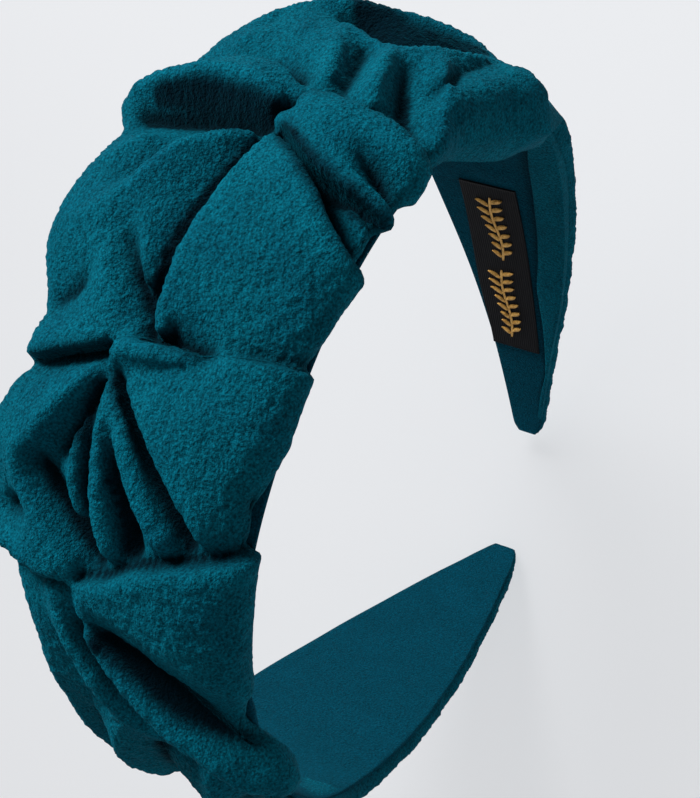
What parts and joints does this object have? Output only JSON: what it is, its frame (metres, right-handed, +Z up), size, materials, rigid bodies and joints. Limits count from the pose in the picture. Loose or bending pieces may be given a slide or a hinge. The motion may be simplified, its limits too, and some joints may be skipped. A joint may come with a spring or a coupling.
{
  "type": "knotted headband",
  "caption": "Springy hoop headband with a wide knotted and pleated suede cover, tapered rounded tips and a smooth lining.",
  "frame": {"origin": "centre of the arc of the lining that sits on the crown of the head, midway between the face side and the back", "axes": "+X to the wearer's left, +Y from the face to the back of the head, +Z up through the crown"},
  "size_m": [0.1376, 0.044, 0.1634],
  "materials": {
    "cover_suede": "matte",
    "lining_suede": "matte",
    "padding_foam": "matte",
    "hoop_plastic": "satin",
    "teal_thread": "matte",
    "label_black": "satin",
    "label_gold": "satin"
  },
  "bodies": {
    "crown": {"crown_core": "hoop_plastic", "crown_foam": "padding_foam", "crown_lining": "lining_suede", "crown_cover": "cover_suede", "crown_knot_tacks": "teal_thread"},
    "left_arm": {"left_arm_core": "hoop_plastic", "left_arm_foam": "padding_foam", "left_arm_lining": "lining_suede", "left_arm_cover": "cover_suede", "left_arm_knot_tacks": "teal_thread", "woven_label": "label_black", "label_motif": "label_gold"},
    "right_arm": {"right_arm_core": "hoop_plastic", "right_arm_foam": "padding_foam", "right_arm_lining": "lining_suede", "right_arm_cover": "cover_suede", "right_arm_knot_tacks": "teal_thread"}
  },
  "joints": [
    {"name": "left_arm_flex", "type": "hinge", "parent": "crown", "child": "left_arm", "pos_m": [0.04834, 0, 0.04056], "axis": [0, -1, 0], "range_deg": [-4, 22], "stiffness_Nm_per_rad": 0.55},
    {"name": "right_arm_flex", "type": "hinge", "parent": "crown", "child": "right_arm", "pos_m": [-0.04834, 0, 0.04056], "axis": [0, 1, 0], "range_deg": [-4, 22], "stiffness_Nm_per_rad": 0.55}
  ]
}
